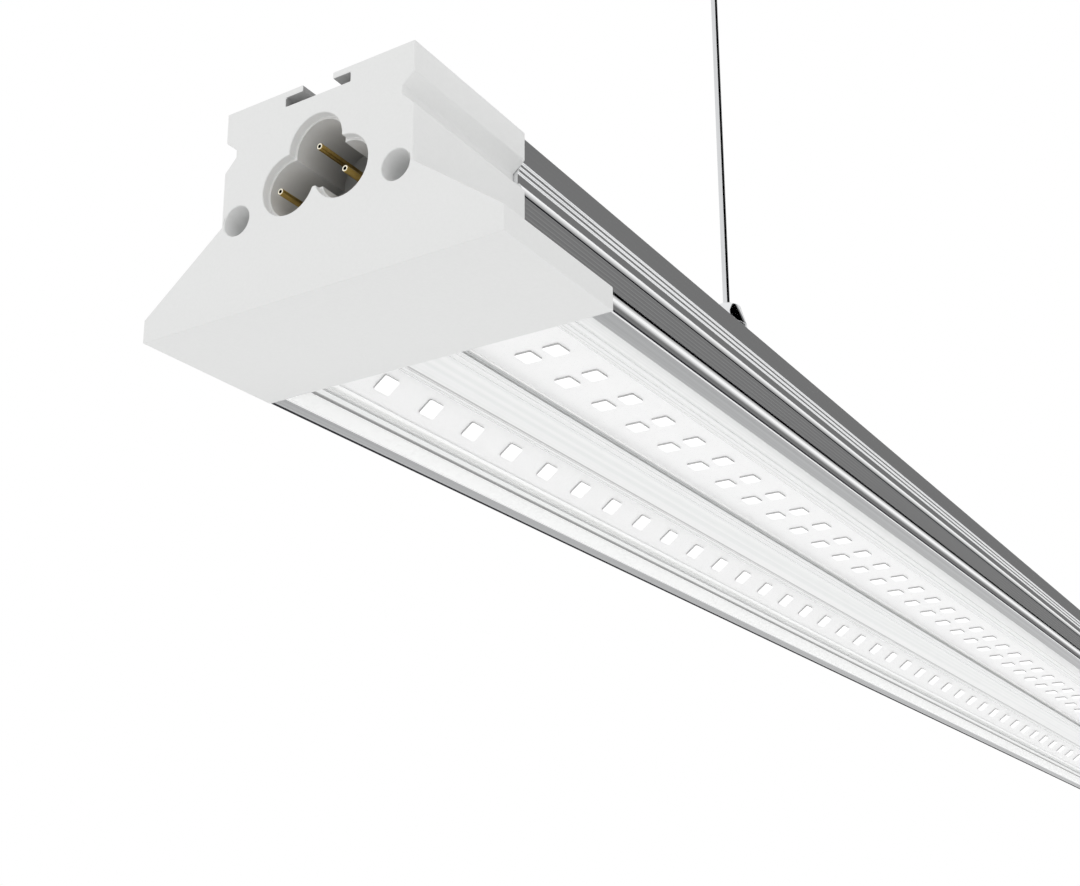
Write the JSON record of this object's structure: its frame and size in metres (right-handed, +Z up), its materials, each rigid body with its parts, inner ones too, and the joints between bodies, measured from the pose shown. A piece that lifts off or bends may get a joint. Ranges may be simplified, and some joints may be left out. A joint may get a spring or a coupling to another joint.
{
  "type": "hanging shop light",
  "caption": "Linear light with an extruded housing, sloping wings, rows of light chips under a clear cover, an inlet in each end cap and wires to ceiling fittings.",
  "frame": {"origin": "on the ceiling, midway between the screw holes of the two ceiling fittings", "axes": "+X along the light, with the end called near at -X; +Y across it, to the side called left; +Z up"},
  "size_m": [1.17, 0.086, 0.211],
  "materials": {
    "extrusion": "satin anodised, with fine lengthwise extrusion lines",
    "clear_cover": "clear plastic",
    "white_board": "white solder mask",
    "light_chip": "pale encapsulant",
    "cap_plastic": "pale grey, satin",
    "screw_steel": "zinc plated",
    "socket_plastic": "pale grey, satin",
    "pin_brass": "polished",
    "brown_lead": "lead sleeve",
    "blue_lead": "lead sleeve",
    "green_lead": "lead sleeve",
    "black_lead": "lead sleeve",
    "white_lead": "lead sleeve",
    "tray_plastic": "satin",
    "green_board": "solder mask",
    "core_dark": "ferrite and moulded cases",
    "capacitor_sleeve": "shrunk sleeve",
    "choke_copper": "enamelled copper",
    "terminal_plastic": "satin",
    "bolt_steel": "bright zinc plated",
    "fitting_chrome": "polished",
    "wire_steel": "bright"
  },
  "bodies": {
    "ceiling": {"ceiling_base_near": "bolt_steel", "ceiling_base_far": "bolt_steel", "ceiling_cup_near": "fitting_chrome", "ceiling_cup_far": "fitting_chrome"},
    "near_hanger": {"wire_stop_near": "wire_steel", "suspension_wire_near": "wire_steel", "gripper_barrel_near": "fitting_chrome", "gripper_nose_near": "fitting_chrome", "gripper_spring_near": "bolt_steel", "slot_bolt_near": "bolt_steel"},
    "light": {"housing": "extrusion", "light_cover": "clear_cover", "led_board_centre": "white_board", "led_board_left": "white_board", "led_board_right": "white_board", "led_chips_centre": "light_chip", "led_chips_left": "light_chip", "led_chips_right": "light_chip", "end_cap_near": "cap_plastic", "end_cap_far": "cap_plastic", "cap_screws": "screw_steel", "inlet_socket_near": "socket_plastic", "inlet_socket_far": "socket_plastic", "inlet_pins_near": "pin_brass", "inlet_pins_far": "pin_brass", "live_lead": "brown_lead", "neutral_lead": "blue_lead", "earth_lead": "green_lead", "earth_tag": "pin_brass", "earth_screw": "screw_steel", "driver_leads": "black_lead", "led_leads": "white_lead", "driver_tray": "tray_plastic", "driver_board": "green_board", "driver_transformer": "core_dark", "driver_capacitors": "capacitor_sleeve", "driver_chokes": "choke_copper", "driver_power_parts": "core_dark", "driver_terminals": "terminal_plastic"},
    "far_hanger": {"wire_stop_far": "wire_steel", "suspension_wire_far": "wire_steel", "gripper_barrel_far": "fitting_chrome", "gripper_nose_far": "fitting_chrome", "gripper_spring_far": "bolt_steel", "slot_bolt_far": "bolt_steel"},
    "near_release": {"release_sleeve_near": "fitting_chrome", "gripper_balls_near": "bolt_steel"},
    "far_release": {"release_sleeve_far": "fitting_chrome", "gripper_balls_far": "bolt_steel"}
  },
  "joints": [
    {"name": "sway", "type": "hinge", "parent": "ceiling", "child": "near_hanger", "pos_m": [0, 0, -0.0224], "axis": [1, 0, 0], "range_deg": [-15, 15]},
    {"name": "slot_slide", "type": "slide", "parent": "near_hanger", "child": "light", "axis": [1, 0, 0], "range_m": [-0.141, 0.141]},
    {"name": "far_slot_slide", "type": "slide", "parent": "light", "child": "far_hanger", "axis": [1, 0, 0], "range_m": [-0.141, 0.141]},
    {"name": "near_release_press", "type": "slide", "parent": "near_hanger", "child": "near_release", "axis": [0, 0, -1], "range_m": [0, 0.0008], "stiffness_N_per_m": 1500, "springref_m": -0.002, "deforming": ["gripper_spring_near"]},
    {"name": "far_release_press", "type": "slide", "parent": "far_hanger", "child": "far_release", "axis": [0, 0, -1], "range_m": [0, 0.0008], "stiffness_N_per_m": 1500, "springref_m": -0.002, "deforming": ["gripper_spring_far"]}
  ],
  "couplings": [
    {"joint": "far_slot_slide", "follows": "slot_slide", "ratio": -1}
  ]
}
